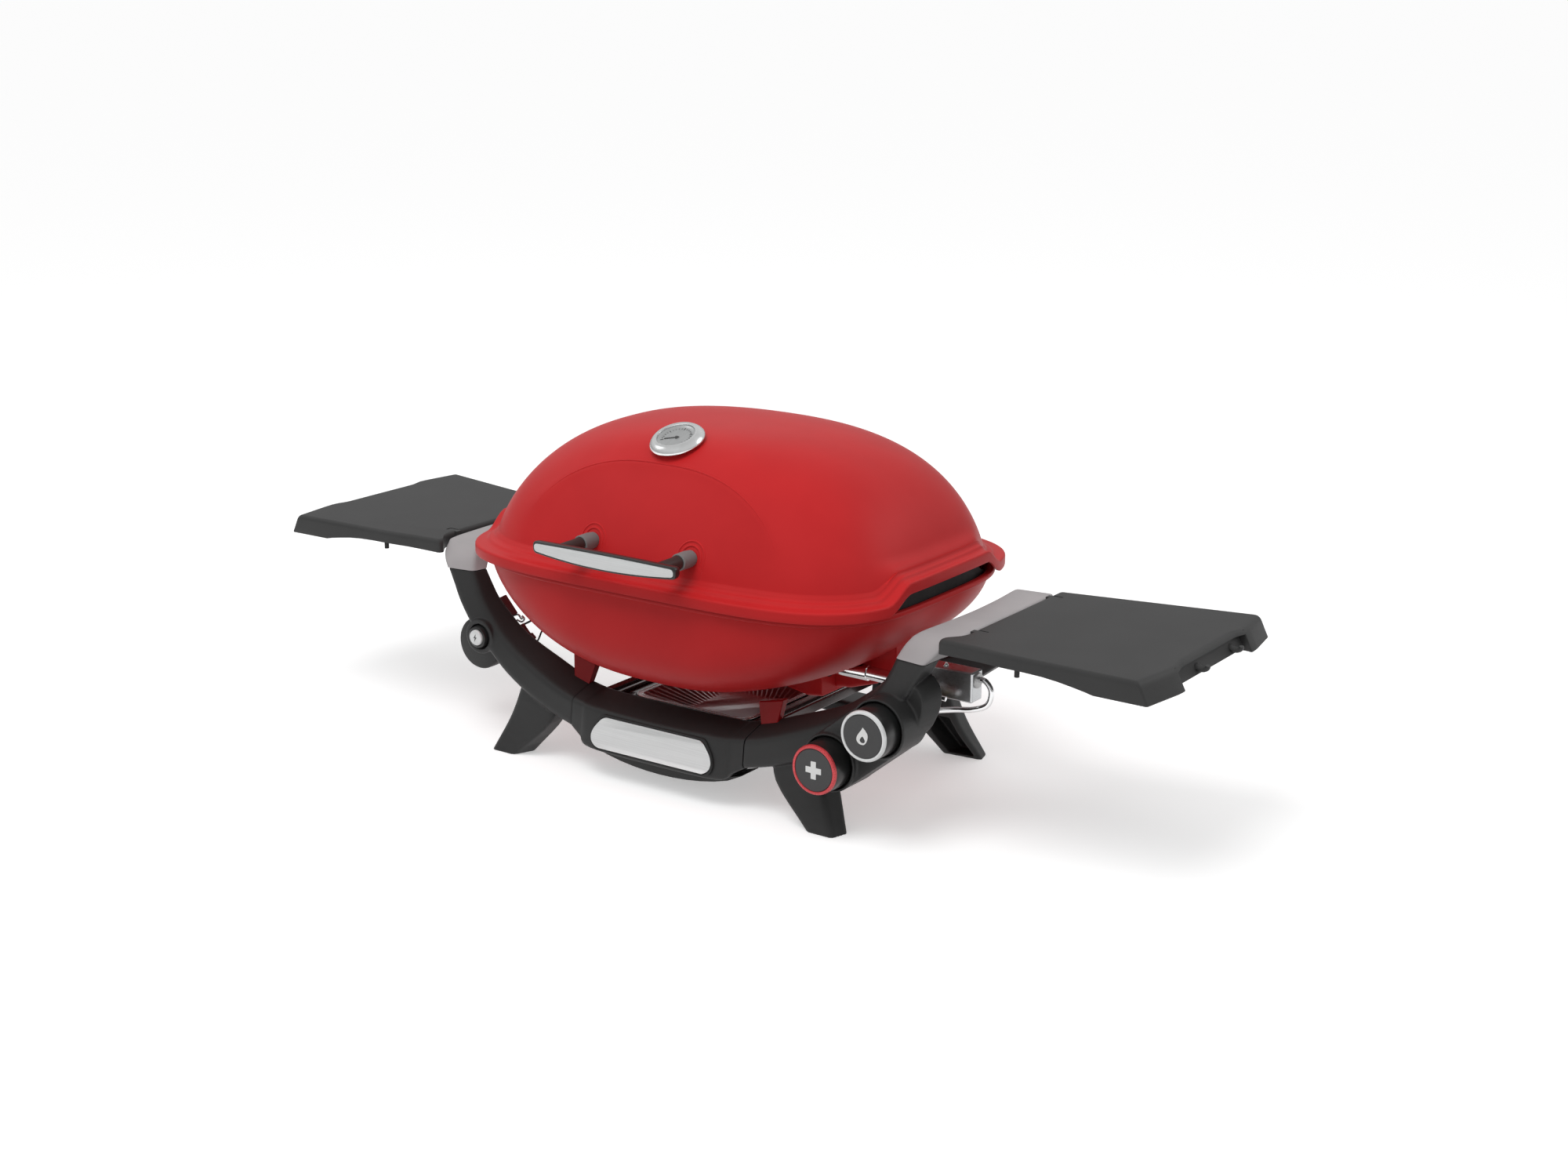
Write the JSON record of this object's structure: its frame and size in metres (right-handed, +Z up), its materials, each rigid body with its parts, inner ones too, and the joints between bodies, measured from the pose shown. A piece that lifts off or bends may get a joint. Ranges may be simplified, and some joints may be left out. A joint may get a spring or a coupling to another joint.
{
  "type": "gas barbecue grill",
  "caption": "Tabletop gas barbecue grill with a tall red hinged lid, fold-up grey side tables, front knobs, a push igniter and a pull-out catch pan.",
  "frame": {"origin": "on the ground under the feet, in the middle of the bounding box", "axes": "+X along the long side towards the right table and the knobs, +Y from the handle to the hinge, +Z up"},
  "size_m": [1.322, 0.5184, 0.4525],
  "materials": {
    "red_enamel": "satin red powder coat over cast aluminium",
    "red_steel": "satin dark red paint",
    "charcoal_plastic": "fine texture",
    "table_grey_plastic": "fine texture",
    "light_grey_paint": "fine textured grey paint",
    "black_plastic": "semi-gloss",
    "post_brown": "satin",
    "brushed_aluminium": "brushed",
    "chrome": "polished",
    "galvanised_steel": "galvanised",
    "cast_iron": "matte enamel",
    "brass": "satin",
    "white_ring": "silvered ring",
    "red_ring": "metallic red ring",
    "dial_face": null,
    "aluminium_foil": "foil",
    "ceramic": "glazed",
    "pan_aluminium": "ribbed, satin",
    "pan_rail_steel": "gloss"
  },
  "bodies": {
    "base": {"cookbox": "red_enamel", "cookbox_hinge_lug_left": "galvanised_steel", "cookbox_hinge_lug_right": "galvanised_steel", "lid_hinge_pin_left": "galvanised_steel", "lid_hinge_pin_right": "galvanised_steel", "main_burner_loop": "galvanised_steel", "main_burner_tube": "chrome", "small_burner": "galvanised_steel", "grate_left": "cast_iron", "grate_right": "cast_iron", "left_front_arm": "charcoal_plastic", "right_front_arm": "charcoal_plastic", "left_back_arm": "charcoal_plastic", "right_back_arm": "charcoal_plastic", "left_rail": "light_grey_paint", "right_rail": "light_grey_paint", "front_cradle": "charcoal_plastic", "back_cradle": "charcoal_plastic", "name_plate": "brushed_aluminium", "cradle_lower_lip": "black_plastic", "cookbox_bracket_front_left": "red_steel", "cookbox_bracket_front_right": "red_steel", "cookbox_bracket_back_left": "red_steel", "cookbox_bracket_back_right": "red_steel", "table_hinge_pin_left": "galvanised_steel", "table_hinge_pin_right": "galvanised_steel", "main_valve_body": "brass", "small_valve_body": "brass", "igniter_housing": "black_plastic", "igniter_bezel": "light_grey_paint", "igniter_electrode": "ceramic", "igniter_wire": "black_plastic", "manifold_box": "galvanised_steel", "gas_supply_tube": "chrome", "gas_jumper_tube": "chrome", "gas_inlet_fitting": "brass", "pan_rail_left": "pan_rail_steel", "pan_rail_right": "pan_rail_steel"},
    "lid": {"lid_shell": "red_enamel", "thermometer_bezel": "chrome", "thermometer_dial": "dial_face", "handle_bar": "black_plastic", "handle_insert": "brushed_aluminium", "handle_post_left": "post_brown", "handle_post_right": "post_brown", "lid_hinge_lug_left": "galvanised_steel", "lid_hinge_lug_right": "galvanised_steel"},
    "left_table": {"left_side_table": "table_grey_plastic"},
    "right_table": {"right_side_table": "table_grey_plastic"},
    "main_stem": {"main_valve_stem": "brass"},
    "main_dial": {"main_knob": "black_plastic", "main_knob_ring": "white_ring"},
    "small_stem": {"small_valve_stem": "brass"},
    "small_dial": {"small_knob": "black_plastic", "small_knob_ring": "red_ring"},
    "igniter_plunger": {"igniter_button": "black_plastic"},
    "pan": {"catch_pan": "pan_aluminium", "foil_tray": "aluminium_foil"}
  },
  "joints": [
    {"name": "lid_hinge", "type": "hinge", "parent": "base", "child": "lid", "pos_m": [0, 0.2502, 0.2555], "axis": [-1, 0, 0], "range_deg": [0, 95]},
    {"name": "left_table_hinge", "type": "hinge", "parent": "base", "child": "left_table", "pos_m": [-0.409, 0.0112, 0.252], "axis": [0, 1, 0], "range_deg": [0, 125]},
    {"name": "right_table_hinge", "type": "hinge", "parent": "base", "child": "right_table", "pos_m": [0.409, 0.0112, 0.252], "axis": [0, -1, 0], "range_deg": [0, 125]},
    {"name": "main_knob_push", "type": "slide", "parent": "base", "child": "main_stem", "axis": [0, 1, 0], "range_m": [0, 0.004], "stiffness_N_per_m": 400, "springref_m": -0.002},
    {"name": "main_knob_turn", "type": "hinge", "parent": "main_stem", "child": "main_dial", "pos_m": [0.3233, -0.1888, 0.1441], "axis": [0, -1, 0], "range_deg": [0, 180]},
    {"name": "small_knob_push", "type": "slide", "parent": "base", "child": "small_stem", "axis": [0, 1, 0], "range_m": [0, 0.004], "stiffness_N_per_m": 400, "springref_m": -0.002},
    {"name": "small_knob_turn", "type": "hinge", "parent": "small_stem", "child": "small_dial", "pos_m": [0.2559, -0.1888, 0.0892], "axis": [0, -1, 0], "range_deg": [0, 180]},
    {"name": "igniter_push", "type": "slide", "parent": "base", "child": "igniter_plunger", "axis": [0, 1, 0], "range_m": [0, 0.005], "stiffness_N_per_m": 400, "springref_m": -0.002},
    {"name": "pan_slide", "type": "slide", "parent": "base", "child": "pan", "axis": [0, 1, 0], "range_m": [0, 0.2]}
  ]
}
